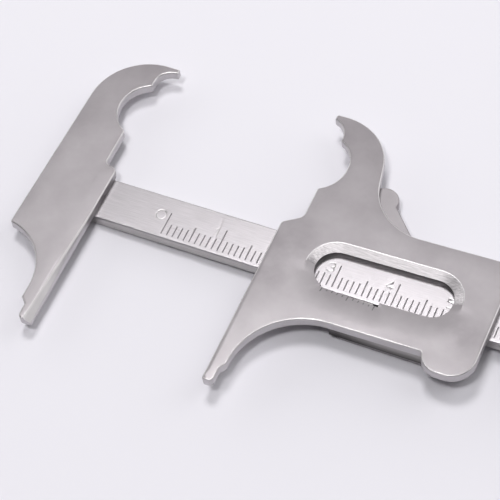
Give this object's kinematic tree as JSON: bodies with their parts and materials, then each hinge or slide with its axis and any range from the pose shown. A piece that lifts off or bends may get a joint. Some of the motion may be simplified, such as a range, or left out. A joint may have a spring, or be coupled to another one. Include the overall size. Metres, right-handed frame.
{
  "type": "dental caliper",
  "caption": "Flat steel slide caliper with curved beaks and straight lower jaws, a graduated beam, a vernier window and a thumb slide with a sprung lock lever.",
  "frame": {"origin": "on the fixed jaw's measuring face, level with the beam's centre line, halfway through the jaw's thickness", "axes": "+X along the beam towards the slide, +Y towards the beaks, +Z out of the graduated face"},
  "size_m": [0.1355, 0.055, 0.005],
  "materials": {
    "satin_steel": "fine blasted satin",
    "beam_steel": "brushed lengthwise",
    "rail_steel": "milled",
    "rivet_steel": "ground flush",
    "spring_steel": "tempered"
  },
  "bodies": {
    "frame": {"beam": "beam_steel", "fixed_jaw": "satin_steel", "fixed_jaw_rivets": "rivet_steel", "stop_screw": "rivet_steel"},
    "slide": {"slide_front_plate": "satin_steel", "slide_back_plate": "satin_steel", "lower_guide_rail": "rail_steel", "upper_guide_rail": "rail_steel", "upper_spacer_block": "rail_steel", "slide_rivets": "rivet_steel", "lever_pivot_pin": "rivet_steel", "lever_spring": "spring_steel", "gib_spring": "spring_steel"},
    "lever": {"lock_lever": "satin_steel"}
  },
  "joints": [
    {"name": "slide_travel", "type": "slide", "parent": "frame", "child": "slide", "axis": [1, 0, 0], "range_m": [-0.02918, 0.0508]},
    {"name": "lever_press", "type": "hinge", "parent": "slide", "child": "lever", "pos_m": [0.0519, 0.0064, -0.0019], "axis": [0, 0, 1], "range_deg": [0, 5], "stiffness_Nm_per_rad": 0.1, "deforming": ["lever_spring"]}
  ]
}
